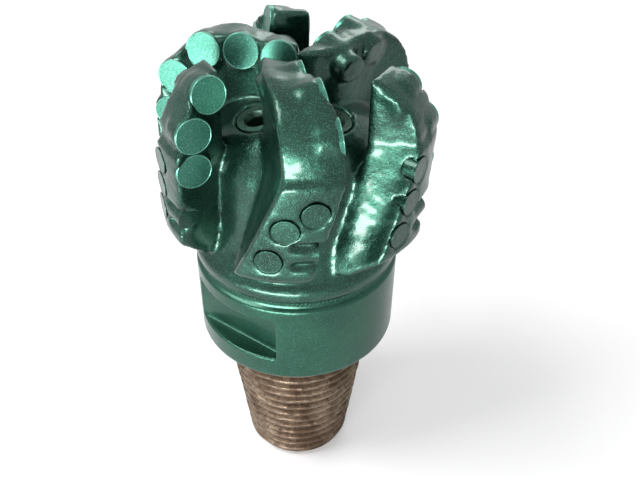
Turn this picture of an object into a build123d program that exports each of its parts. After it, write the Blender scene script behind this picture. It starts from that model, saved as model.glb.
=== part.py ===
from build123d import *
from math import acos, asin, atan, cos, degrees, hypot, pi, radians, sin, tan
import os

# Steel-body PDC drill bit, standing on the end face of its tapered pin.
# Origin: centre of the pin's end face.  +Z runs up to the cutting face.
# Azimuths are degrees counter-clockwise from +X; the bit turns that way, seen from its face.

# ---- driving dimensions, millimetres and degrees ----
bit_dia = 107.95            # drilled diameter over the gauge pads
nose_height = 207.4         # highest cutter tips above the pin's end face
shoulder_radius = 27.4      # rounding of the cutting profile into the gauge
cone_angle = 5.0            # dish of the cutting face towards the centre

pin_length = 76.2
pin_base_dia = 66.675       # thread crests at the shoulder, regular rotary connection
pin_taper = 0.25            # on the diameter, per unit of length
pin_relief_dia = 64.6
pin_relief_length = 9.0
pin_chamfer = 2.2
water_bore_dia = 25.4

shank_dia = 85.0
shank_length = 37.2
shank_edge_chamfer = 1.0
slot_height = 21.0          # breaker slots for the bit breaker plate
slot_bottom = 10.6          # above the shoulder face
slot_flat_radius = 34.5     # axis to the slot's flat
slot_closed_half = 17.6     # flat's centre line to its closed end
slot_azimuth = 234.0

weld_width = 5.0            # mouth of the weld groove between shank and crown
weld_depth = 4.0
weld_hollow = 1.5           # bead surface below the shank's skin
neck_height = 5.0
spigot_dia = 56.0           # crown's spigot in the shank's counterbore
spigot_length = 14.0
spigot_gap = 0.1

gauge_length = 41.0         # pad below the shoulder rounding
pad_recess = 0.25           # pads below the drilled diameter
pad_bottom_slope = 44.0
slot_floor_dia = 70.0       # junk slots between the blades
slot_floor_top = 182.0
slot_floor_round = 22.0
pad_widening = 0.19         # degrees per millimetre that a pad spreads on its trailing side
body_under_tips = 2.3       # blade tops below the cutter tips

plenum_dia = 30.0
plenum_top = 160.0
nozzle_circle_dia = 34.0
nozzle_dia = 15.0
nozzle_length = 14.0
nozzle_orifice = 8.0
nozzle_mouth = 2.0          # nozzle face below the slot floor
nozzle_tilt = 12.0
nozzle_azimuths = (215.0, 322.0, 95.0)
seal_section = 2.0
seal_groove_depth = 1.6

cutter_dia = 13.44
cutter_length = 8.0
cutter_rake = 12.0
cutter_bevel = 0.35
cutter_pitch_gap = 0.15     # between neighbouring cutters of a blade
cutter_stand = 0.6          # cutter face ahead of the blade's face
backing_less = 1.0          # backing lump under the cutter's radius
backing_length = 14.6
braze_gap = 0.05

insert_dia = 9.4
insert_length = 5.0
updrill_dia = 8.0
updrill_length = 10.0
updrill_bevel = 0.8
updrill_rise = 11.0
updrill_gap = 0.6
updrill_below = 0.4         # outer side below the drilled radius at the middle of its length
updrill_trough = 11.5       # round trough that bares its outer half

# Gauge inserts of a pad: distance below the shoulder line, share of the pad's width from its
# leading edge.  Stepped where the cutters end high, stacked behind a long row of cutters.
stepped_pads = ((12.4, 0.31), (19.0, 0.63), (32.4, 0.66))
stacked_pads = ((9.0, 0.78), (20.5, 0.76), (32.4, 0.77))

# Each blade: azimuth of its leading side inside, at mid radius and at the gauge, and degrees of
# spiral per millimetre down the pad; inner radius; thickness inside and at the gauge; radius of
# its first cutter and height of the lowest one allowed.
blades = {
    "a": dict(lead=(176.0, 168.0, 175.0), spiral=-0.1, inner=2.0, thick=(10.0, 18.0), first=5.8,
              lowest=146.0, pads=stacked_pads),
    "b": dict(lead=(219.0, 221.0, 223.0), spiral=0.12, inner=32.5, thick=(12.0, 17.0), first=38.5,
              lowest=168.0, pads=stacked_pads),
    "c": dict(lead=(278.0, 287.0, 290.0), spiral=0.31, inner=14.0, thick=(15.0, 22.0), first=18.5,
              lowest=179.0, pads=stepped_pads),
    "d": dict(lead=(340.0, 343.0, 346.0), spiral=0.31, inner=35.5, thick=(15.0, 19.0), first=41.5,
              lowest=160.0, pads=stacked_pads),
    "e": dict(lead=(20.0, 47.0, 49.0), spiral=0.31, inner=2.0, thick=(10.0, 19.0), first=14.0,
              lowest=160.0, pads=stacked_pads),
    "f": dict(lead=(106.0, 110.0, 112.0), spiral=0.31, inner=30.0, thick=(14.0, 18.0), first=35.5,
              lowest=160.0, pads=stacked_pads),
}

# ---- derived sizes ----
bit_radius = bit_dia / 2
pad_radius = bit_radius - pad_recess
shank_radius = shank_dia / 2
neck_radius = shank_radius
shank_top = pin_length + shank_length
neck_bottom = shank_top + weld_width
weld_middle = shank_top + weld_width / 2
nose_radius = bit_radius - shoulder_radius
shoulder_height = nose_height - shoulder_radius
pad_bottom = shoulder_height - gauge_length
floor_radius = slot_floor_dia / 2
cutter_radius = cutter_dia / 2
plan_reach = bit_radius + 6
gauge_row_radius = bit_radius - cutter_radius


def polar(radius, azimuth, height=0.0):
    angle = radians(azimuth)
    return Vector(radius * cos(angle), radius * sin(angle), height)


def profile_inset(inset):
    """Cutting profile moved inwards: cone line, shoulder arc and gauge line, in the XZ plane."""
    arc_radius = shoulder_radius - inset
    cone = radians(cone_angle)
    cone_end_x = nose_radius - arc_radius * sin(cone)
    cone_end_z = shoulder_height + arc_radius * cos(cone)
    centre_z = cone_end_z - cone_end_x * tan(cone)
    return arc_radius, cone_end_x, cone_end_z, centre_z


def profile_point(inset, travel):
    """Radius, height and outward angle at a travel along the inset profile from its cone end."""
    arc_radius, cone_end_x, cone_end_z, _ = profile_inset(inset)
    cone = radians(cone_angle)
    arc_turn = pi / 2 + cone
    if travel < 0:
        angle = pi / 2 + cone
        return cone_end_x + travel * cos(cone), cone_end_z + travel * sin(cone), angle
    if travel < arc_radius * arc_turn:
        angle = arc_turn - travel / arc_radius
        return nose_radius + arc_radius * cos(angle), shoulder_height + arc_radius * sin(angle), angle
    return nose_radius + arc_radius, shoulder_height - (travel - arc_radius * arc_turn), 0.0


def lead_azimuth(blade, radius, height):
    """Azimuth of a blade's leading edge: a parabola in the radius, then the pad's spiral."""
    inner = blade["inner"]
    radii = (inner, (inner + gauge_row_radius) / 2, gauge_row_radius)
    radius = min(radius, gauge_row_radius)
    total = 0.0
    for i, azimuth in enumerate(blade["lead"]):
        weight = 1.0
        for j, other in enumerate(radii):
            if j != i:
                weight *= (radius - other) / (radii[i] - other)
        total += azimuth * weight
    return total - blade["spiral"] * max(0.0, shoulder_height - height)


def trail_azimuth(blade, radius, height):
    inner = blade["inner"]
    share = (min(radius, bit_radius) - inner) / (bit_radius - inner)
    thick = blade["thick"][0] + (blade["thick"][1] - blade["thick"][0]) * share
    spread = degrees(2 * asin(min(0.95, thick / (2 * max(radius, thick * 0.6)))))
    widen = pad_widening * max(0.0, shoulder_height - height)
    return lead_azimuth(blade, radius, height) - spread - widen


def plan_face(blade, height):
    """Horizontal section of a blade between its two curved sides."""
    inner = max(blade["inner"], 4.0)
    radii = [inner + (plan_reach - inner) * i / 4 for i in range(5)]
    lead = Spline([polar(r, lead_azimuth(blade, r, height), height) for r in radii])
    trail = Spline([polar(r, trail_azimuth(blade, r, height), height) for r in radii])
    inner_edge = Line(lead @ 0, trail @ 0)
    outer_edge = Line(lead @ 1, trail @ 1)
    return make_face([lead, outer_edge, trail, inner_edge])


def revolve_profile(points):
    return revolve(make_face(Polyline(points, close=True)), Axis.Z)


def section(points):
    """XZ outline of (radius, height) pairs, revolved about the bit's axis."""
    return revolve_profile([(x, 0, z) for x, z in points])


def envelope(inset, gauge_inset):
    """Solid of revolution under the cutting profile, down past the pads' sloping lower ends."""
    arc_radius, cone_x, cone_z, centre_z = profile_inset(inset)
    side = bit_radius - gauge_inset
    turn = acos(min(1.0, (side - nose_radius) / arc_radius)) if side < nose_radius + arc_radius else 0.0
    side_z = shoulder_height + arc_radius * sin(turn)
    middle = radians(50)
    slope_drop = (side - neck_radius) * tan(radians(pad_bottom_slope))
    arc = ThreePointArc(
        (cone_x, 0, cone_z),
        (nose_radius + arc_radius * cos(middle), 0, shoulder_height + arc_radius * sin(middle)),
        (nose_radius + arc_radius * cos(turn), 0, side_z),
    )
    rest = Polyline(
        (nose_radius + arc_radius * cos(turn), 0, side_z),
        (side, 0, shoulder_height - 1),
        (side, 0, pad_bottom),
        (neck_radius, 0, pad_bottom - slope_drop),
        (0, 0, pad_bottom - slope_drop),
        (0, 0, centre_z),
        (cone_x, 0, cone_z),
    )
    return revolve(make_face([arc, rest]), Axis.Z)


def core():
    """Neck, sloping slot run-outs and the domed floor that the blades stand on."""
    run_out = neck_bottom + neck_height
    floor_foot = run_out + 20
    dome_x = floor_radius - slot_floor_round
    outline = [
        Line((0, 0, neck_bottom), (neck_radius, 0, neck_bottom)),
        Line((neck_radius, 0, neck_bottom), (neck_radius, 0, run_out)),
        Spline(
            [(neck_radius, 0, run_out), (floor_radius + 2.2, 0, run_out + 8), (floor_radius, 0, floor_foot)],
            tangents=[(-1, 0, 0.6), (0, 0, 1)],
        ),
        Line((floor_radius, 0, floor_foot), (floor_radius, 0, slot_floor_top - slot_floor_round)),
        ThreePointArc(
            (floor_radius, 0, slot_floor_top - slot_floor_round),
            (dome_x + slot_floor_round * cos(pi / 4), 0, slot_floor_top - slot_floor_round * (1 - sin(pi / 4))),
            (dome_x, 0, slot_floor_top),
        ),
        Line((dome_x, 0, slot_floor_top), (0, 0, slot_floor_top)),
        Line((0, 0, slot_floor_top), (0, 0, neck_bottom)),
    ]
    return revolve(make_face(outline), Axis.Z)


def blade_blank(blade):
    """Straight upper part over the shoulder line, twisted lower part along the gauge."""
    upper = extrude(plan_face(blade, shoulder_height), nose_height + 4 - shoulder_height, dir=(0, 0, 1))
    bottom = neck_bottom + 1.5
    steps = [bottom + (shoulder_height - bottom) * i / 3 for i in range(4)]
    lower = loft([plan_face(blade, height) for height in steps])
    return upper + lower


def apart(point, other, axis):
    """Distance between two points seen along an axis."""
    reach = point - other
    return (reach - axis * reach.dot(axis)).length


def cutter_frames(blade):
    """Plane of each cutter's face: centre on the inset profile, normal along its axis."""
    inset = cutter_radius
    _, cone_x, _, _ = profile_inset(inset)
    travel = (blade["first"] - cone_x) / cos(radians(cone_angle))
    clear = cutter_dia + cutter_pitch_gap
    frames = []
    last = None
    while True:
        radius, height, outward = profile_point(inset, travel)
        if height < blade["lowest"]:
            return frames
        azimuth = lead_azimuth(blade, radius, height)
        normal = polar(cos(outward), azimuth, sin(outward))
        forward = polar(1, azimuth + 90)
        axis = forward * cos(radians(cutter_rake)) + normal * sin(radians(cutter_rake))
        face = polar(radius, azimuth, height) + forward * cutter_stand
        back = face - axis * cutter_length
        if last is None or min(apart(face, last[0], axis), apart(back, last[1], axis)) >= clear:
            frames.append(Plane(origin=face, x_dir=normal.cross(axis), z_dir=axis))
            last = (face, back)
        travel += 0.1


def rod(frame, dia, length, start=0.0):
    """Cylinder behind a face plane, from start to start + length along its axis."""
    circle = Plane(origin=frame.origin - frame.z_dir * start, x_dir=frame.x_dir, z_dir=-frame.z_dir)
    return extrude(circle * Circle(dia / 2), length)


def cutter(frame):
    blank = rod(frame, cutter_dia, cutter_length)
    return chamfer(blank.edges().filter_by(GeomType.CIRCLE).sort_by_distance(frame.origin)[:1], cutter_bevel)


def gauge_frame(azimuth, height):
    outward = polar(1, azimuth)
    return Plane(origin=polar(pad_radius, azimuth, height), x_dir=(0, 0, 1), z_dir=outward)


def insert_frames(blade):
    """Three flush gauge inserts step down the pad, clear of the cutters on its leading side."""
    frames = []
    for down, share in blade["pads"]:
        height = shoulder_height - down
        lead = lead_azimuth(blade, bit_radius, height)
        trail = trail_azimuth(blade, bit_radius, height)
        frames.append(gauge_frame(lead + (trail - lead) * share, height))
    return frames


def updrill_frame(blade, last_cutter):
    """Small cutter on its side at the pad's lower leading corner, tangent at the middle of its length."""
    under_cutters = last_cutter.origin.Z - cutter_radius - updrill_dia / 2 - updrill_gap
    height = min(pad_bottom + updrill_rise, under_cutters)
    azimuth = lead_azimuth(blade, bit_radius, height) - 0.8
    middle_radius = bit_radius - updrill_dia / 2 - updrill_below
    half_turn = degrees(atan(updrill_length / 2 / middle_radius))
    centre = polar(hypot(middle_radius, updrill_length / 2), azimuth, height)
    return Plane(origin=centre, x_dir=(0, 0, 1), z_dir=polar(1, azimuth + 90 - half_turn))


def updrill(frame):
    blank = rod(frame, updrill_dia, updrill_length)
    return chamfer(blank.edges().filter_by(GeomType.CIRCLE).sort_by_distance(frame.origin)[-1:], updrill_bevel)


def nozzle_frame(azimuth):
    """Mouth plane of a nozzle, tilted outwards from the bit's axis."""
    outward = polar(1, azimuth)
    axis = Vector(0, 0, 1) * cos(radians(nozzle_tilt)) + outward * sin(radians(nozzle_tilt))
    origin = polar(nozzle_circle_dia / 2, azimuth, slot_floor_top - nozzle_mouth)
    return Plane(origin=origin, x_dir=outward.cross(axis), z_dir=axis)


def nozzle(frame):
    body = rod(frame, nozzle_dia, nozzle_length) - rod(frame, nozzle_orifice, nozzle_length)
    groove = rod(frame, nozzle_dia + 1, seal_section, nozzle_length - 2 * seal_section)
    groove -= rod(frame, nozzle_dia - 2 * seal_groove_depth, seal_section, nozzle_length - 2 * seal_section)
    flare = Plane(origin=frame.origin - frame.z_dir * 2, x_dir=frame.x_dir, z_dir=frame.z_dir)
    mouth = extrude(flare * Circle(nozzle_orifice / 2), 3, taper=-25)
    return body - groove - mouth


def nozzle_seal(frame):
    """Ring in the nozzle's groove, a hair inside its walls."""
    start = nozzle_length - 2 * seal_section + braze_gap
    width = seal_section - 2 * braze_gap
    outside = rod(frame, nozzle_dia, width, start)
    return outside - rod(frame, nozzle_dia - 2 * seal_groove_depth + 2 * braze_gap, width, start)


def crown(frames, inserts, updrills, nozzles):
    body = core()
    for blade in blades.values():
        body += blade_blank(blade) & envelope(body_under_tips, pad_recess)
    for frame in frames:
        body += rod(frame, cutter_dia - 2 * backing_less, backing_length, 2.2)
    spigot_bottom = weld_middle - spigot_length
    spigot = spigot_dia / 2
    body += section([(0, spigot_bottom), (spigot, spigot_bottom), (spigot, neck_bottom), (0, neck_bottom)])
    root = neck_radius - weld_depth
    body += section([(0, weld_middle), (root, weld_middle), (neck_radius, neck_bottom), (0, neck_bottom)])
    pocket = cutter_dia + 2 * braze_gap
    for frame in frames:
        body -= rod(frame, pocket, cutter_length + braze_gap + 6, -6)
    for frame in inserts:
        body -= rod(frame, insert_dia + 2 * braze_gap, insert_length + braze_gap + 2, -2)
    for frame in updrills:
        trough = Plane(
            origin=frame.origin + frame.y_dir * updrill_dia / 2, x_dir=frame.x_dir, z_dir=frame.z_dir
        )
        body -= rod(trough, updrill_trough, updrill_length + braze_gap + 5, -5)
        body -= rod(frame, updrill_dia + 2 * braze_gap, updrill_length + braze_gap + 5, -5)
    body -= section([(0, spigot_bottom), (plenum_dia / 2, spigot_bottom), (plenum_dia / 2, plenum_top - 12),
                     (0, plenum_top)])
    for frame in nozzles:
        body -= rod(frame, nozzle_dia + 2 * braze_gap, nozzle_length + 8, -8)
        body -= rod(frame, nozzle_orifice + 3, nozzle_length + 14)
    return body


def shank():
    end_radius = (pin_base_dia - pin_taper * pin_length) / 2
    relief_foot = pin_length - pin_relief_length
    relief_radius = pin_relief_dia / 2
    base_at_relief = (pin_base_dia - pin_taper * pin_relief_length) / 2
    root = shank_radius - weld_depth
    edge = shank_edge_chamfer
    body = section([
        (0, 0),
        (end_radius - pin_chamfer, 0),
        (end_radius + pin_taper / 2 * pin_chamfer, pin_chamfer),
        (base_at_relief, relief_foot),
        (relief_radius, relief_foot + 1),
        (relief_radius, pin_length),
        (shank_radius - edge, pin_length),
        (shank_radius, pin_length + edge),
        (shank_radius, shank_top),
        (root, weld_middle),
        (0, weld_middle),
    ])
    bore = water_bore_dia / 2
    socket = spigot_dia / 2 + spigot_gap
    socket_floor = weld_middle - spigot_length - spigot_gap
    body -= section([
        (0, -1), (bore, -1), (bore, socket_floor - 4), (plenum_dia / 2, socket_floor), (socket, socket_floor),
        (socket, weld_middle + 1), (0, weld_middle + 1),
    ])
    for turn in (0, 180):
        length = shank_radius + slot_closed_half
        block = Box(
            shank_radius, length, slot_height,
            align=(Align.MIN, Align.MAX, Align.MIN),
        )
        place = Location((slot_flat_radius, slot_closed_half, pin_length + slot_bottom))
        body -= Rot(0, 0, slot_azimuth + turn) * place * block
    return body


def weld_bead():
    """Weld between the two groove flanks, its face hollow below the shank's skin."""
    root = neck_radius - weld_depth
    share = 1 - weld_hollow / weld_depth
    half = weld_width / 2 * share
    face = root + weld_depth * share
    outline = [
        Line((root + 0.1, 0, weld_middle), (face, 0, weld_middle - half)),
        ThreePointArc(
            (face, 0, weld_middle - half), (face - half * 0.25, 0, weld_middle), (face, 0, weld_middle + half)
        ),
        Line((face, 0, weld_middle + half), (root + 0.1, 0, weld_middle)),
    ]
    return revolve(make_face(outline), Axis.Z)


def write(shape, name):
    export_step(shape, os.path.join("parts", name + ".step"))


os.makedirs("parts", exist_ok=True)

all_frames = []
all_inserts = []
all_updrills = []
nozzle_frames = [nozzle_frame(azimuth) for azimuth in nozzle_azimuths]
for letter, blade in blades.items():
    frames = cutter_frames(blade)
    for number, frame in enumerate(frames, 1):
        write(cutter(frame), f"cutter_{letter}{number}")
    all_frames += frames
    inserts = insert_frames(blade)
    write(Compound([rod(frame, insert_dia, insert_length) for frame in inserts]), f"gauge_inserts_{letter}")
    all_inserts += inserts
    lug = updrill_frame(blade, frames[-1])
    write(updrill(lug), f"updrill_cutter_{letter}")
    all_updrills.append(lug)

for number, frame in enumerate(nozzle_frames, 1):
    write(nozzle(frame), f"nozzle_{number}")
    write(nozzle_seal(frame), f"nozzle_seal_{number}")

write(crown(all_frames, all_inserts, all_updrills, nozzle_frames), "bit_body")
write(shank(), "shank")
write(weld_bead(), "weld_bead")
print("cutters", len(all_frames), "files", len(os.listdir("parts")))
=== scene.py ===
import math

import bmesh
import bpy
import numpy as np
from mathutils import Matrix, Vector


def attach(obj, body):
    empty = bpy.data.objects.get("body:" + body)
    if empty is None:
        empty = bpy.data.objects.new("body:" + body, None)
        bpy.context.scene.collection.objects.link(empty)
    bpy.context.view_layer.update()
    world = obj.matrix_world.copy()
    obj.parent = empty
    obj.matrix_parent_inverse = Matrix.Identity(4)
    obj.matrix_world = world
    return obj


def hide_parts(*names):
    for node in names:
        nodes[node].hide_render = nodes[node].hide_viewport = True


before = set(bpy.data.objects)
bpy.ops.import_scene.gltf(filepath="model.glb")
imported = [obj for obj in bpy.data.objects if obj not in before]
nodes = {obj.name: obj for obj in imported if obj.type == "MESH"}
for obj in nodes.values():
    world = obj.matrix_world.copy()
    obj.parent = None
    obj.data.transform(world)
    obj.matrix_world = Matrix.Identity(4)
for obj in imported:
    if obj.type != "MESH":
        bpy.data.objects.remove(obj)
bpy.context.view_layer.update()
print("frame loaded:", len(nodes), "nodes")

tiny = 1e-9  # keeps divisions safe
fullTurn = 2 * math.pi


def newObject(name, mesh):
    made = bpy.data.objects.new(name, mesh)
    bpy.context.scene.collection.objects.link(made)
    return made


def meshFromArrays(name, points, faces):
    mesh = bpy.data.meshes.new(name)
    mesh.from_pydata([tuple(point) for point in points], [], [tuple(face) for face in faces])
    mesh.update()
    return mesh


def pointsOf(mesh):
    flat = np.empty(len(mesh.vertices) * 3)
    mesh.vertices.foreach_get("co", flat)
    return flat.reshape(-1, 3)


def normalsOf(mesh):
    flat = np.empty(len(mesh.vertices) * 3)
    mesh.vertices.foreach_get("normal", flat)
    return flat.reshape(-1, 3)


def putPoints(mesh, points):
    mesh.vertices.foreach_set("co", points.ravel())
    mesh.update()


def mergedMesh(nodeName):  # a frame mesh is split where its faces meet, so its copy is joined up
    mesh = nodes[nodeName].data.copy()
    mergeDistance = 2e-6
    work = bmesh.new()
    work.from_mesh(mesh)
    bmesh.ops.remove_doubles(work, verts=work.verts, dist=mergeDistance)
    work.to_mesh(mesh)
    work.free()
    return mesh


def bakedModifiers(made):
    bpy.context.view_layer.update()
    graph = bpy.context.evaluated_depsgraph_get()
    plain = bpy.data.meshes.new_from_object(made.evaluated_get(graph))
    made.modifiers.clear()
    made.data = plain
    return made


def voxelSkin(made, voxel):
    skin = made.modifiers.new("skin", "REMESH")
    skin.mode = "VOXEL"
    skin.voxel_size = voxel
    return bakedModifiers(made)


def relax(mesh, passes, pull=0.5):  # plain smoothing, rounds the edges like thick paint
    edges = np.empty(len(mesh.edges) * 2, np.int64)
    mesh.edges.foreach_get("vertices", edges)
    edges = edges.reshape(-1, 2)
    points = pointsOf(mesh)
    count = np.bincount(edges.ravel(), minlength=len(points))[:, None]
    for _ in range(passes):
        total = np.zeros_like(points)
        for axis in range(3):
            total[:, axis] = np.bincount(edges[:, 0], points[edges[:, 1], axis], len(points))
            total[:, axis] += np.bincount(edges[:, 1], points[edges[:, 0], axis], len(points))
        points += pull * (total / np.maximum(count, 1) - points)
    putPoints(mesh, points)
    return points


def ripples(points, seed, waves, longest, shortest):  # smooth unevenness from crossing waves
    rng = np.random.default_rng(seed)
    total = np.zeros(len(points))
    for _ in range(waves):
        direction = rng.normal(size=3)
        direction /= np.linalg.norm(direction)
        length = rng.uniform(shortest, longest)
        total += np.sin(points @ direction * fullTurn / length + rng.uniform(0, fullTurn))
    return total / waves


def flatDiscs(nodeName):  # centre, normal and area of each flat end of a node's discs
    mesh = nodes[nodeName].data
    points = pointsOf(mesh)
    leastArea = 1e-12
    leastShare = 0.5
    groups = {}
    for face in mesh.polygons:
        corner = points[list(face.vertices)]
        cross = np.cross(corner[1] - corner[0], corner[2] - corner[0])
        area = np.linalg.norm(cross) / 2
        if area < leastArea:
            continue
        normal = cross / (2 * area)
        middle = corner.mean(0)
        key = tuple(np.round(normal, 2)) + (round(float(middle @ normal), 4),)
        found = groups.setdefault(key, [np.zeros(3), np.zeros(3), 0.0])
        found[0] += middle * area
        found[1] += normal * area
        found[2] += area
    largest = max(found[2] for found in groups.values())
    return [
        (found[0] / found[2], found[1] / np.linalg.norm(found[1]), found[2])
        for found in groups.values() if found[2] > leastShare * largest
    ]


cutterNames = sorted(name for name in nodes if name.startswith("cutter_"))
insertNames = sorted(name for name in nodes if name.startswith("gauge_inserts"))
updrillNames = sorted(name for name in nodes if name.startswith("updrill"))
cutterFaces = {name: min(flatDiscs(name), key=lambda disc: disc[2]) for name in cutterNames}
updrillFaces = {name: max(flatDiscs(name), key=lambda disc: disc[2]) for name in updrillNames}
insertFaces = [
    disc for name in insertNames for disc in flatDiscs(name) if disc[0][:2] @ disc[1][:2] > 0
]
print("discs found:", len(cutterFaces), "cutters,", len(insertFaces), "inserts")


def feed(tree, socket, given):  # a socket takes a link or a plain value
    if hasattr(given, "links"):
        tree.links.new(given, socket)
    else:
        socket.default_value = given


def opaque(colour):
    return colour if hasattr(colour, "links") else (*colour, 1.0)


def treeWith(kind, name, inputs, outputs):
    tree = bpy.data.node_groups.new(name, kind)
    for label, socketKind, value in inputs:
        socket = tree.interface.new_socket(name=label, in_out="INPUT", socket_type=socketKind)
        if value is not None:
            socket.default_value = value
    for label, socketKind in outputs:
        tree.interface.new_socket(name=label, in_out="OUTPUT", socket_type=socketKind)
    return tree, tree.nodes.new("NodeGroupInput"), tree.nodes.new("NodeGroupOutput")


def noiseNode(tree, vector, scale, detail, rough=0.5):
    noise = tree.nodes.new("ShaderNodeTexNoise")
    for label, given in (("Vector", vector), ("Scale", scale), ("Detail", detail), ("Roughness", rough)):
        feed(tree, noise.inputs[label], given)
    return noise.outputs[0]


def rangeNode(tree, value, fromRange, toRange=(0.0, 1.0)):
    spread = tree.nodes.new("ShaderNodeMapRange")
    for label, number in zip(("From Min", "From Max", "To Min", "To Max"), (*fromRange, *toRange)):
        spread.inputs[label].default_value = number
    tree.links.new(value, spread.inputs["Value"])
    return spread.outputs["Result"]


def mixColour(tree, share, first, second):  # a Mix node's colours are its sockets 6, 7 and 2
    mix = tree.nodes.new("ShaderNodeMix")
    mix.data_type = "RGBA"
    feed(tree, mix.inputs[6], opaque(first))
    feed(tree, mix.inputs[7], opaque(second))
    tree.links.new(share, mix.inputs[0])
    return mix.outputs[2]


def mathNode(tree, operation, first, second):
    work = tree.nodes.new("ShaderNodeMath")
    work.operation = operation
    for socket, given in zip(work.inputs, (first, second)):
        feed(tree, socket, given)
    return work.outputs[0]


flakeMix = {
    "cloudScale": 70.0, "cloudDetail": 4.0, "cloudRange": (0.3, 0.7),
    "flakeDetail": 2.0, "flakeRough": 0.7, "sparkRange": (0.52, 0.78), "sparkShare": (0.0, 0.75),
    "peelDetail": 3.0, "peelRough": 0.6, "flakeHeight": 0.25,
    "gloss": (0.26, 0.36), "dullRange": (0.4, 0.8), "dullAdd": (0.0, 0.12),
}


def flakePaintGroup(mix):
    tree, given, out = treeWith(
        "ShaderNodeTree",
        "flakePaint",
        [
            ("Vector", "NodeSocketVector", None),
            ("Base", "NodeSocketColor", (0.03, 0.12, 0.08, 1)),
            ("Deep", "NodeSocketColor", (0.01, 0.05, 0.03, 1)),
            ("Flake", "NodeSocketColor", (0.2, 0.5, 0.4, 1)),
            ("Flake Scale", "NodeSocketFloat", 2400.0),
            ("Peel Scale", "NodeSocketFloat", 420.0),
        ],
        [("Color", "NodeSocketColor"), ("Roughness", "NodeSocketFloat"), ("Height", "NodeSocketFloat")],
    )
    vector = given.outputs["Vector"]
    cloud = noiseNode(tree, vector, mix["cloudScale"], mix["cloudDetail"])
    flake = noiseNode(tree, vector, given.outputs["Flake Scale"], mix["flakeDetail"], mix["flakeRough"])
    peel = noiseNode(tree, vector, given.outputs["Peel Scale"], mix["peelDetail"], mix["peelRough"])
    cloudShare = rangeNode(tree, cloud, mix["cloudRange"])
    body = mixColour(tree, cloudShare, given.outputs["Deep"], given.outputs["Base"])
    spark = rangeNode(tree, flake, mix["sparkRange"], mix["sparkShare"])
    tree.links.new(mixColour(tree, spark, body, given.outputs["Flake"]), out.inputs["Color"])
    gloss = rangeNode(tree, cloud, mix["cloudRange"], mix["gloss"])
    dull = rangeNode(tree, flake, mix["dullRange"], mix["dullAdd"])
    tree.links.new(mathNode(tree, "ADD", gloss, dull), out.inputs["Roughness"])
    height = mathNode(tree, "ADD", mathNode(tree, "MULTIPLY", flake, mix["flakeHeight"]), peel)
    tree.links.new(height, out.inputs["Height"])
    return tree


rustMix = {
    "patchScale": 120.0, "patchDetail": 5.0, "patchRough": 0.62, "patchRange": (0.38, 0.62),
    "speckScale": 900.0, "speckDetail": 4.0, "speckRough": 0.65, "speckRange": (0.5, 0.72),
    "grimeShare": (0.0, 0.85), "stretch": (1.0, 1.0, 0.35), "middle": 0.5, "patchHeight": 0.4,
}


def rustGroup(mix):
    tree, given, out = treeWith(
        "ShaderNodeTree",
        "rustStain",
        [
            ("Vector", "NodeSocketVector", None),
            ("Steel", "NodeSocketColor", (0.4, 0.36, 0.3, 1)),
            ("Rust", "NodeSocketColor", (0.1, 0.05, 0.025, 1)),
            ("Grime", "NodeSocketColor", (0.02, 0.014, 0.01, 1)),
            ("Amount", "NodeSocketFloat", 0.5),
        ],
        [("Color", "NodeSocketColor"), ("Mask", "NodeSocketFloat"), ("Height", "NodeSocketFloat")],
    )
    vector = given.outputs["Vector"]
    stretch = tree.nodes.new("ShaderNodeMapping")
    stretch.inputs["Scale"].default_value = mix["stretch"]
    tree.links.new(vector, stretch.inputs["Vector"])
    patches = noiseNode(
        tree, stretch.outputs[0], mix["patchScale"], mix["patchDetail"], mix["patchRough"]
    )
    specks = noiseNode(tree, vector, mix["speckScale"], mix["speckDetail"], mix["speckRough"])
    shift = mathNode(tree, "SUBTRACT", given.outputs["Amount"], mix["middle"])
    mask = rangeNode(tree, mathNode(tree, "ADD", patches, shift), mix["patchRange"])
    stained = mixColour(tree, mask, given.outputs["Steel"], given.outputs["Rust"])
    grimeShare = rangeNode(tree, specks, mix["speckRange"], mix["grimeShare"])
    tree.links.new(mixColour(tree, grimeShare, stained, given.outputs["Grime"]), out.inputs["Color"])
    tree.links.new(mask, out.inputs["Mask"])
    height = mathNode(tree, "ADD", specks, mathNode(tree, "MULTIPLY", mask, mix["patchHeight"]))
    tree.links.new(height, out.inputs["Height"])
    return tree


flakePaint = flakePaintGroup(flakeMix)
rustStain = rustGroup(rustMix)


def newMaterial(name, **constants):
    material = bpy.data.materials.new(name)
    material.use_nodes = True
    tree = material.node_tree
    shader = tree.nodes["Principled BSDF"]
    for label, value in constants.items():
        shader.inputs[label.replace("_", " ")].default_value = value
    coords = tree.nodes.new("ShaderNodeTexCoord")
    return material, tree, shader, coords.outputs["Object"]


def placedGroup(tree, groupTree, coords, colours, numbers):
    group = tree.nodes.new("ShaderNodeGroup")
    group.node_tree = groupTree
    for label, colour in colours.items():
        group.inputs[label].default_value = opaque(colour)
    for label, number in numbers.items():
        group.inputs[label].default_value = number
    tree.links.new(coords, group.inputs["Vector"])
    return group


def bumpInto(tree, shader, height, strength, distance):
    bump = tree.nodes.new("ShaderNodeBump")
    bump.inputs["Strength"].default_value = strength
    bump.inputs["Distance"].default_value = distance
    tree.links.new(height, bump.inputs["Height"])
    tree.links.new(bump.outputs[0], shader.inputs["Normal"])


def paintMaterial(name, look):
    material, tree, shader, coords = newMaterial(
        name, Metallic=look["metallic"], Coat_Weight=look["coat"], Coat_Roughness=look["coatRough"]
    )
    group = placedGroup(
        tree, flakePaint, coords,
        {"Base": look["base"], "Deep": look["deep"], "Flake": look["flake"]},
        {"Flake Scale": look["flakeScale"], "Peel Scale": look["peelScale"]},
    )
    tree.links.new(group.outputs["Color"], shader.inputs["Base Color"])
    tree.links.new(group.outputs["Roughness"], shader.inputs["Roughness"])
    bumpInto(tree, shader, group.outputs["Height"], look["bump"], look["bumpDepth"])
    return material


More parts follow.
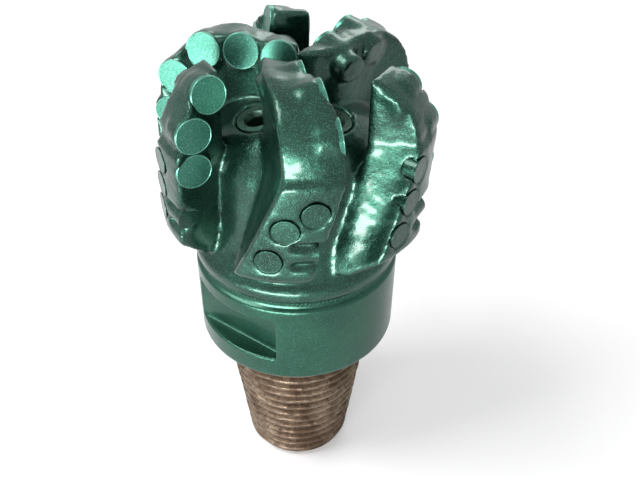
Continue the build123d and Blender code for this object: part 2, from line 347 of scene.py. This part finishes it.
crownPaint = paintMaterial("crown_paint", {
    "base": (0.012, 0.055, 0.036), "deep": (0.005, 0.027, 0.017), "flake": (0.07, 0.24, 0.185),
    "metallic": 0.85, "coat": 0.35, "coatRough": 0.12,
    "flakeScale": 2200.0, "peelScale": 330.0, "bump": 0.55, "bumpDepth": 0.0004,
})
collarPaint = paintMaterial("collar_paint", {
    "base": (0.015, 0.072, 0.046), "deep": (0.009, 0.048, 0.031), "flake": (0.06, 0.2, 0.15),
    "metallic": 0.8, "coat": 0.15, "coatRough": 0.12,
    "flakeScale": 2600.0, "peelScale": 700.0, "bump": 0.3, "bumpDepth": 0.0002,
})
# painted highlight: the crown's green paint made about three times lighter for the cutters, so their
# faces look lit
cutterSheenPaint = paintMaterial("cutter_sheen_paint", {
    "base": (0.045, 0.17, 0.125), "deep": (0.032, 0.13, 0.095), "flake": (0.17, 0.42, 0.33),
    "metallic": 0.9, "coat": 0.1, "coatRough": 0.12,
    "flakeScale": 1900.0, "peelScale": 900.0, "bump": 0.25, "bumpDepth": 0.00015,
})
# painted highlight: a paler green than the cutters for the raised paint rims, so they show as light
# outlines round the cutter faces
rimHighlightPaint = paintMaterial("rim_highlight_paint", {
    "base": (0.10, 0.31, 0.24), "deep": (0.07, 0.24, 0.18), "flake": (0.3, 0.58, 0.5),
    "metallic": 0.8, "coat": 0.3, "coatRough": 0.12,
    "flakeScale": 2400.0, "peelScale": 900.0, "bump": 0.2, "bumpDepth": 0.0001,
})


def pinMaterial(look):
    material, tree, shader, coords = newMaterial("pin_steel", Metallic=look["metallic"])
    group = placedGroup(
        tree, rustStain, coords,
        {"Steel": look["steel"], "Rust": look["rust"], "Grime": look["grime"]},
        {"Amount": look["amount"]},
    )
    # yellowish patches mixed into the steel, only on the +X side of the pin
    sideTint = noiseNode(tree, coords, look["sideTintScale"], look["sideTintDetail"], look["sideTintRough"])
    split = tree.nodes.new("ShaderNodeSeparateXYZ")
    tree.links.new(coords, split.inputs[0])
    side = rangeNode(tree, split.outputs[0], look["sideTintSpan"])
    share = mathNode(tree, "MULTIPLY", rangeNode(tree, sideTint, look["sideTintRange"], look["sideTintShare"]), side)
    stained = mixColour(tree, share, group.outputs["Color"], look["sideTint"])
    tree.links.new(stained, shader.inputs["Base Color"])
    dull = rangeNode(tree, group.outputs["Mask"], (0.0, 1.0), look["rough"])
    tree.links.new(dull, shader.inputs["Roughness"])
    bumpInto(tree, shader, group.outputs["Height"], look["bump"], look["bumpDepth"])
    return material


pinSteel = pinMaterial({
    "steel": (0.22, 0.165, 0.115), "rust": (0.07, 0.042, 0.025), "grime": (0.016, 0.011, 0.008),
    "amount": 0.55, "metallic": 0.75, "rough": (0.26, 0.5), "bump": 0.6, "bumpDepth": 0.0004,
    "sideTint": (0.22, 0.22, 0.08), "sideTintScale": 210.0, "sideTintDetail": 3.0, "sideTintRough": 0.6,
    "sideTintRange": (0.48, 0.66), "sideTintShare": (0.0, 0.6), "sideTintSpan": (0.016, 0.032),
})


def grainMaterial(name, look):
    material, tree, shader, coords = newMaterial(name, Metallic=look["metallic"])
    grain = noiseNode(tree, coords, look["scale"], look["detail"], look["grainRough"])
    share = rangeNode(tree, grain, look["mixRange"])
    tree.links.new(mixColour(tree, share, look["dark"], look["light"]), shader.inputs["Base Color"])
    dull = rangeNode(tree, grain, look["roughRange"], look["rough"])
    tree.links.new(dull, shader.inputs["Roughness"])
    bumpInto(tree, shader, grain, look["bump"], look["bumpDepth"])
    return material


nozzleCarbide = grainMaterial("nozzle_carbide", {
    "dark": (0.06, 0.13, 0.10), "light": (0.12, 0.2, 0.16), "metallic": 0.9, "rough": (0.3, 0.45),
    "scale": 800.0, "detail": 4.0, "grainRough": 0.6, "mixRange": (0.35, 0.65),
    "roughRange": (0.3, 0.7), "bump": 0.3, "bumpDepth": 0.0002,
})
sealRubber = grainMaterial("seal_rubber", {
    "dark": (0.02, 0.02, 0.02), "light": (0.035, 0.035, 0.035), "metallic": 0.0, "rough": (0.6, 0.8),
    "scale": 1200.0, "detail": 4.0, "grainRough": 0.6, "mixRange": (0.35, 0.65),
    "roughRange": (0.3, 0.7), "bump": 0.3, "bumpDepth": 0.0002,
})
print("materials made")


def dress(piece, material):
    piece.data.materials.clear()
    piece.data.materials.append(material)
    return piece


def smoothShade(piece, angle=None):
    piece.data.shade_smooth()
    if angle is not None:
        piece.data.set_sharp_from_angle(angle=math.radians(angle))


# one paint skin over the crown and the backs of its cutters
crownShape = {
    "voxel": 0.00099, "passes": 5, "sink": 0.00055, "grow": 1.045, "unevenness": 0.00026,
    "lumps": (7, 14, 0.016, 0.006), "dimples": (8, 14, 0.006, 0.003), "dimpleShare": 0.5,
    "neckRadius": 0.0425, "neckSnap": 0.0003, "neckTop": 0.1225,
    "outermost": 0.05385, "highest": 0.20712,
}


def sunkCopy(work, nodeName, centre, normal, shape):
    mesh = mergedMesh(nodeName)
    points = pointsOf(mesh) - centre
    along = (points @ normal)[:, None] * normal
    points = along + (points - along) * shape["grow"] + centre - normal * shape["sink"]
    putPoints(mesh, points)
    work.from_mesh(mesh)


def makeCrown(shape):
    work = bmesh.new()
    work.from_mesh(mergedMesh("bit_body"))
    for name, (centre, normal, _) in {**cutterFaces, **updrillFaces}.items():
        sunkCopy(work, name, centre, normal, shape)
    mesh = bpy.data.meshes.new("crown")
    work.to_mesh(mesh)
    work.free()
    made = voxelSkin(newObject("crown", mesh), shape["voxel"])
    points = relax(made.data, shape["passes"])
    normals = normalsOf(made.data)
    uneven = ripples(points, *shape["lumps"]) + shape["dimpleShare"] * ripples(points, *shape["dimples"])
    points += normals * (uneven * shape["unevenness"])[:, None]
    radius = np.linalg.norm(points[:, :2], axis=1)
    neck = np.abs(radius - shape["neckRadius"]) < shape["neckSnap"]
    neck &= points[:, 2] < shape["neckTop"]
    target = np.where(neck, shape["neckRadius"], np.minimum(radius, shape["outermost"]))
    points[:, :2] *= (target / np.maximum(radius, tiny))[:, None]
    points[:, 2] = np.minimum(points[:, 2], shape["highest"])
    putPoints(made.data, points)
    smoothShade(made)
    return dress(made, crownPaint)


crown = makeCrown(crownShape)
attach(crown, "root")
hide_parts("bit_body")
print("crown made:", len(crown.data.polygons), "faces")

# the collar is the shank above its shoulder face
collarShape = {
    "cutHeight": 0.07605, "voxel": 0.0006, "passes": 3, "radius": 0.0425, "snap": 0.0003,
    "sideFrom": 0.0778, "sideTo": 0.1128, "cutTolerance": 1e-7,
}


def makeCollar(shape):
    mesh = mergedMesh("shank")
    work = bmesh.new()
    work.from_mesh(mesh)
    cut = bmesh.ops.bisect_plane(
        work, geom=work.verts[:] + work.edges[:] + work.faces[:],
        plane_co=(0, 0, shape["cutHeight"]), plane_no=(0, 0, -1),
        clear_outer=True, dist=shape["cutTolerance"],
    )
    rim = [item for item in cut["geom_cut"] if isinstance(item, bmesh.types.BMEdge)]
    bmesh.ops.triangle_fill(work, edges=rim, use_beauty=True, use_dissolve=False)
    bmesh.ops.recalc_face_normals(work, faces=work.faces)
    work.to_mesh(mesh)
    work.free()
    made = voxelSkin(newObject("collar", mesh), shape["voxel"])
    points = relax(made.data, shape["passes"])
    radius = np.linalg.norm(points[:, :2], axis=1)
    side = np.abs(radius - shape["radius"]) < shape["snap"]
    side &= (points[:, 2] > shape["sideFrom"]) & (points[:, 2] < shape["sideTo"])
    points[:, :2] *= np.where(side, shape["radius"] / np.maximum(radius, tiny), 1.0)[:, None]
    putPoints(made.data, points)
    smoothShade(made)
    return dress(made, collarPaint)


collar = makeCollar(collarShape)
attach(collar, "root")
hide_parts("shank")
print("collar made:", len(collar.data.polygons), "faces")

# the pin with its cut thread; slopes are radius per height
pinShape = {
    "top": 0.0774, "endRadius": 0.0238125, "slope": 0.125, "cap": 0.0323,
    "mouthRadius": 0.0216, "mouthSlope": 1.125, "boreRadius": 0.01272,
    "pitch": 0.00508, "depth": 0.0026, "crest": 0.24, "root": 0.9, "startPhase": 0.35,
    "straightFlank": 0.75, "knocks": (21, 12, 0.012, 0.004), "knockGain": 3, "knockRange": (-0.5, 1.5),
    "wear": 0.00022, "evenWear": 0.5, "around": 228, "rows": 262, "sharpAngle": 50,
}


def threadRadius(shape, angle, level):
    phase = np.mod(level / shape["pitch"] - angle / fullTurn + shape["startPhase"], 1.0)
    ridge = np.abs(2 * phase - 1)
    groove = np.clip((ridge - shape["crest"]) / (shape["root"] - shape["crest"]), 0, 1)
    rounded = 3 * groove ** 2 - 2 * groove ** 3  # eases in at the crest and at the root
    groove = groove * shape["straightFlank"] + (1 - shape["straightFlank"]) * rounded
    crest = np.minimum(shape["endRadius"] + shape["slope"] * level, shape["cap"])
    spot = np.stack([crest * np.cos(angle), crest * np.sin(angle), level], -1).reshape(-1, 3)
    knocks = ripples(spot, *shape["knocks"]).reshape(level.shape) * shape["knockGain"]
    radius = crest - shape["depth"] * groove
    radius -= shape["wear"] * (1 - groove) * (shape["evenWear"] + np.clip(knocks, *shape["knockRange"]))
    return np.minimum(radius, shape["mouthRadius"] + shape["mouthSlope"] * level)


def makePin(shape):
    around, rows = shape["around"], shape["rows"]
    turn = np.linspace(0, fullTurn, around, endpoint=False)
    angle, level = np.meshgrid(turn, np.linspace(0, shape["top"], rows))
    radius = threadRadius(shape, angle, level)
    outer = np.stack([radius * np.cos(angle), radius * np.sin(angle), level], -1).reshape(-1, 3)
    bore = [
        (shape["boreRadius"] * math.cos(bearing), shape["boreRadius"] * math.sin(bearing), height)
        for height in (shape["top"], 0.0) for bearing in turn
    ]
    ring = np.arange(around)
    after = (ring + 1) % around
    faces = []
    for row in range(rows + 1):  # up the thread, over the top and down the bore
        low = row * around
        high = low + around
        faces += list(zip(low + ring, low + after, high + after, high + ring))
    last = (rows + 1) * around
    faces += list(zip(last + ring, last + after, after, ring))
    mesh = meshFromArrays("threaded_pin", np.vstack([outer, np.array(bore)]), faces)
    made = newObject("threaded_pin", mesh)
    smoothShade(made, shape["sharpAngle"])
    return dress(made, pinSteel)


pin = makePin(pinShape)
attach(pin, "root")
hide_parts("shank")
print("pin made:", len(pin.data.polygons), "faces")


def geometryTree(name, inputs):
    return treeWith(
        "GeometryNodeTree", name,
        [("Geometry", "NodeSocketGeometry", None)] + inputs + [("Material", "NodeSocketMaterial", None)],
        [("Geometry", "NodeSocketGeometry")],
    )


def linkPairs(tree, pairs):
    for source, target in pairs:
        tree.links.new(source, target)


def finishTree(tree, given, out, instances):
    real = tree.nodes.new("GeometryNodeRealizeInstances")
    paint = tree.nodes.new("GeometryNodeSetMaterial")
    linkPairs(tree, [
        (instances, real.inputs[0]),
        (real.outputs[0], paint.inputs["Geometry"]),
        (given.outputs["Material"], paint.inputs["Material"]),
        (paint.outputs[0], out.inputs["Geometry"]),
    ])


def rimTree():  # a thin ring on each point, turned to the way that the point faces
    tree, given, out = geometryTree("raisedRims", [
        ("Rim Radius", "NodeSocketFloat", 0.0065),
        ("Wire Radius", "NodeSocketFloat", 0.0002),
        ("Around", "NodeSocketInt", 48),
        ("Wire Sides", "NodeSocketInt", 6),
    ])
    circle = tree.nodes.new("GeometryNodeCurvePrimitiveCircle")
    wire = tree.nodes.new("GeometryNodeCurvePrimitiveCircle")
    sweep = tree.nodes.new("GeometryNodeCurveToMesh")
    facing = tree.nodes.new("GeometryNodeInputNamedAttribute")
    facing.data_type = "FLOAT_VECTOR"
    facing.inputs["Name"].default_value = "facing"
    turn = tree.nodes.new("FunctionNodeAlignRotationToVector")
    place = tree.nodes.new("GeometryNodeInstanceOnPoints")
    linkPairs(tree, [
        (given.outputs["Rim Radius"], circle.inputs["Radius"]),
        (given.outputs["Around"], circle.inputs["Resolution"]),
        (given.outputs["Wire Radius"], wire.inputs["Radius"]),
        (given.outputs["Wire Sides"], wire.inputs["Resolution"]),
        (circle.outputs["Curve"], sweep.inputs["Curve"]),
        (wire.outputs["Curve"], sweep.inputs["Profile Curve"]),
        (facing.outputs["Attribute"], turn.inputs["Vector"]),
        (given.outputs["Geometry"], place.inputs["Points"]),
        (sweep.outputs[0], place.inputs["Instance"]),
        (turn.outputs[0], place.inputs["Rotation"]),
    ])
    finishTree(tree, given, out, place.outputs[0])
    return tree


def weldTree():  # upright beads side by side round the groove, each of its own width and height
    tree, given, out = geometryTree("weldRipples", [
        ("Ring Radius", "NodeSocketFloat", 0.0405),
        ("Count", "NodeSocketInt", 130),
        ("Scale Size", "NodeSocketFloat", 0.002),
        ("Height", "NodeSocketFloat", 0.1159),
        ("Least", "NodeSocketVector", (0.5, 0.42, 0.95)),
        ("Most", "NodeSocketVector", (0.62, 0.5, 1.1)),
        ("Segments", "NodeSocketInt", 10),
        ("Rings", "NodeSocketInt", 6),
        ("Seed", "NodeSocketInt", 3),
    ])
    circle = tree.nodes.new("GeometryNodeCurvePrimitiveCircle")
    spots = tree.nodes.new("GeometryNodeCurveToPoints")
    lift = tree.nodes.new("GeometryNodeTransform")
    up = tree.nodes.new("ShaderNodeCombineXYZ")
    ball = tree.nodes.new("GeometryNodeMeshUVSphere")
    place = tree.nodes.new("GeometryNodeInstanceOnPoints")
    jitter = tree.nodes.new("FunctionNodeRandomValue")
    jitter.data_type = "FLOAT_VECTOR"
    linkPairs(tree, [
        (given.outputs["Ring Radius"], circle.inputs["Radius"]),
        (given.outputs["Count"], circle.inputs["Resolution"]),
        (circle.outputs["Curve"], spots.inputs["Curve"]),
        (given.outputs["Count"], spots.inputs["Count"]),
        (given.outputs["Height"], up.inputs["Z"]),
        (spots.outputs["Points"], lift.inputs["Geometry"]),
        (up.outputs[0], lift.inputs["Translation"]),
        (given.outputs["Scale Size"], ball.inputs["Radius"]),
        (given.outputs["Segments"], ball.inputs["Segments"]),
        (given.outputs["Rings"], ball.inputs["Rings"]),
        (given.outputs["Least"], jitter.inputs["Min"]),
        (given.outputs["Most"], jitter.inputs["Max"]),
        (given.outputs["Seed"], jitter.inputs["Seed"]),
        (lift.outputs[0], place.inputs["Points"]),
        (ball.outputs["Mesh"], place.inputs["Instance"]),
        (jitter.outputs[0], place.inputs["Scale"]),
    ])
    finishTree(tree, given, out, place.outputs[0])
    return tree


def runTree(made, tree, values):
    modifier = made.modifiers.new("build", "NODES")
    modifier.node_group = tree
    for item in tree.interface.items_tree:
        if item.in_out == "INPUT" and item.name in values:
            modifier[item.identifier] = values[item.name]
    return bakedModifiers(made)


def rimPiece(name, faces, look):
    mesh = meshFromArrays(name, [centre - normal * look["sink"] for centre, normal, _ in faces], [])
    facing = mesh.attributes.new("facing", "FLOAT_VECTOR", "POINT")
    facing.data.foreach_set("vector", np.array([normal for _, normal, _ in faces]).ravel())
    piece = runTree(newObject(name, mesh), rims, look["tree"])
    smoothShade(piece)
    return piece


rims = rimTree()
# the cutter rims are real raised paint; their paler colour is a painted highlight
cutterRimLook = {
    "sink": 0.00014,
    "tree": {"Rim Radius": 0.00642, "Wire Radius": 0.00029, "Around": 56, "Wire Sides": 6,
             "Material": rimHighlightPaint},
}
cutterRims = rimPiece("cutter_rims", list(cutterFaces.values()), cutterRimLook)
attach(cutterRims, "root")

insertRimLook = {
    "sink": 0.00016,
    "tree": {"Rim Radius": 0.0047, "Wire Radius": 0.00024, "Around": 44, "Wire Sides": 6,
             "Material": collarPaint},
}
insertRims = rimPiece("insert_rims", insertFaces, insertRimLook)
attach(insertRims, "root")

weldLook = {
    "Ring Radius": 0.0400, "Count": 150, "Scale Size": 0.0017, "Height": 0.1159,
    "Least": (0.5, 0.42, 0.95), "Most": (0.62, 0.5, 1.1), "Segments": 10, "Rings": 6,
    "Seed": 3, "Material": collarPaint,
}
weld = newObject("weld_ripples", meshFromArrays("weld_ripples", [(0, 0, 0)], []))
weld = runTree(weld, weldTree(), weldLook)
smoothShade(weld)
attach(weld, "root")
print("rims and weld ripples made")

# finishes of the nodes that stay
# the cutters take the lightened green, a painted highlight
for name in cutterNames:
    dress(nodes[name], cutterSheenPaint)
for name in insertNames + updrillNames:
    dress(nodes[name], crownPaint)
for name in nodes:
    if name.startswith("nozzle_seal"):
        dress(nodes[name], sealRubber)
    elif name.startswith("nozzle"):
        dress(nodes[name], nozzleCarbide)
dress(nodes["weld_bead"], collarPaint)

stageLook = {
    "floorSize": 6.0, "floorDrop": 0.00005, "floorColour": (0.86, 0.86, 0.87), "floorRough": 0.85,
    "glow": 0.12, "worldFill": 0.45,
}


def makeFloor(look=stageLook):
    half, level = look["floorSize"] / 2, -look["floorDrop"]
    corners = [(-half, -half, level), (half, -half, level), (half, half, level), (-half, half, level)]
    floor = newObject("floor", meshFromArrays("floor", corners, [(0, 1, 2, 3)]))
    material = bpy.data.materials.new("floor_pale")
    material.use_nodes = True
    tree = material.node_tree
    shader = tree.nodes["Principled BSDF"]
    shader.inputs["Base Color"].default_value = (*look["floorColour"], 1)
    shader.inputs["Roughness"].default_value = look["floorRough"]
    path = tree.nodes.new("ShaderNodeLightPath")
    seen = mathNode(tree, "MAXIMUM", path.outputs["Is Camera Ray"], path.outputs["Is Glossy Ray"])
    shader.inputs["Emission Color"].default_value = (1, 1, 1, 1)
    tree.links.new(mathNode(tree, "MULTIPLY", seen, look["glow"]), shader.inputs["Emission Strength"])
    return dress(floor, material)


def makeWorld(look):
    world = bpy.data.worlds.new("studio")
    bpy.context.scene.world = world
    world.use_nodes = True
    tree = world.node_tree
    back = tree.nodes["Background"]
    back.inputs["Color"].default_value = (1, 1, 1, 1)
    path = tree.nodes.new("ShaderNodeLightPath")
    seen = mathNode(tree, "MAXIMUM", path.outputs["Is Camera Ray"], path.outputs["Is Glossy Ray"])
    seen = mathNode(tree, "MAXIMUM", seen, path.outputs["Is Transmission Ray"])
    strength = rangeNode(tree, seen, (0.0, 1.0), (look["worldFill"], 1.0))
    tree.links.new(strength, back.inputs["Strength"])


def softLight(name, look):
    lamp = bpy.data.lights.new(name, "AREA")
    lamp.shape = "RECTANGLE"
    lamp.size, lamp.size_y = look["size"]
    lamp.energy = look["power"]
    made = bpy.data.objects.new(name, lamp)
    bpy.context.scene.collection.objects.link(made)
    made.location = look["place"]
    aim = Vector(look["target"]) - Vector(look["place"])
    made.rotation_euler = aim.to_track_quat("-Z", "Y").to_euler()


makeFloor()
makeWorld(stageLook)
lightLooks = {
    "key": {"place": (-0.55, -0.15, 0.95), "target": (0, 0, 0.15), "size": (0.45, 0.45), "power": 8.0},
    "front": {"place": (-0.22, -0.62, 0.07), "target": (0, 0, 0.19), "size": (0.5, 0.13), "power": 9.0},
    "rear": {"place": (0.25, 0.8, 0.7), "target": (0, 0, 0.15), "size": (0.6, 0.3), "power": 3.0},
}
for name, look in lightLooks.items():
    softLight(name, look)

cameraLook = {
    "place": (0.0055, -0.26098, 0.32115), "pitch": 38.16, "yaw": 0.96, "roll": 0.76,
    "lens": 43.86, "sensor": 36.0, "clipStart": 0.01,
}


def makeCamera(look):
    pitch, yaw, roll = (math.radians(look[turn]) for turn in ("pitch", "yaw", "roll"))
    level = math.cos(pitch)
    forward = Vector((math.sin(yaw) * level, math.cos(yaw) * level, -math.sin(pitch)))
    right = forward.cross(Vector((0, 0, 1))).normalized()
    up = right.cross(forward)
    side = math.cos(roll) * right + math.sin(roll) * up
    top = -math.sin(roll) * right + math.cos(roll) * up
    optics = bpy.data.cameras.new("camera")
    optics.sensor_width = look["sensor"]
    optics.lens = look["lens"]
    optics.clip_start = look["clipStart"]
    camera = bpy.data.objects.new("camera", optics)
    bpy.context.scene.collection.objects.link(camera)
    turned = Matrix((side, top, -forward)).transposed().to_4x4()
    camera.matrix_world = Matrix.Translation(Vector(look["place"])) @ turned
    bpy.context.scene.camera = camera


makeCamera(cameraLook)
bpy.context.scene.view_settings.view_transform = "Standard"
print("stage set")
